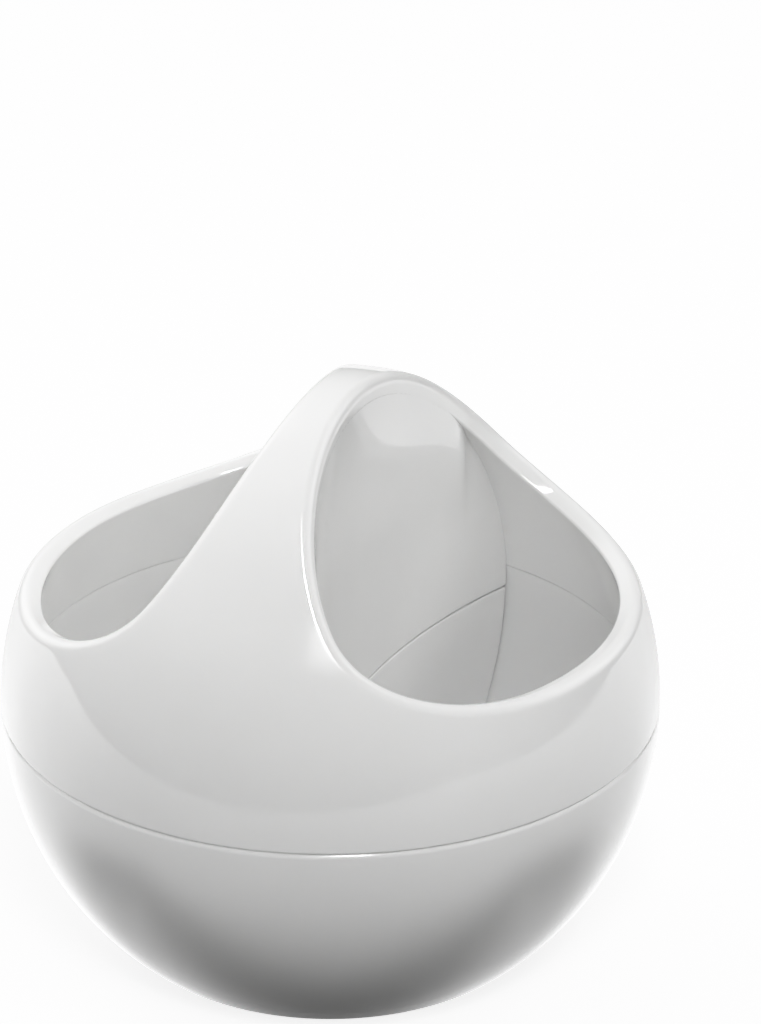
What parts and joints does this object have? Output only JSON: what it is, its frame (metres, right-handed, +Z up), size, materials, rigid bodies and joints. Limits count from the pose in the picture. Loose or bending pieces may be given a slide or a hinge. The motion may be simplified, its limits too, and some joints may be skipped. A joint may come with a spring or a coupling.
{
  "type": "make-up storage box",
  "caption": "Ball-shaped glossy plastic storage box with a flat base, open mouths on both sides of a hollow handle over the crown, and a lift-off upper half over divided compartments.",
  "frame": {"origin": "middle of the base, on the surface that the box stands on", "axes": "+Z up; the handle runs along Y, so the mouths open towards +X and -X"},
  "size_m": [0.115, 0.115, 0.1015],
  "materials": {
    "bowl_plastic": "high-gloss moulded white plastic",
    "shell_plastic": "high-gloss moulded white plastic",
    "divider_plastic": "glossy moulded white plastic"
  },
  "bodies": {
    "bowl": {"lower_bowl": "bowl_plastic", "compartment_divider": "divider_plastic"},
    "top": {"upper_shell": "shell_plastic"}
  },
  "joints": [
    {"name": "top_lift", "type": "slide", "parent": "bowl", "child": "top", "axis": [0, 0, 1], "range_m": [0, 0.06]}
  ]
}
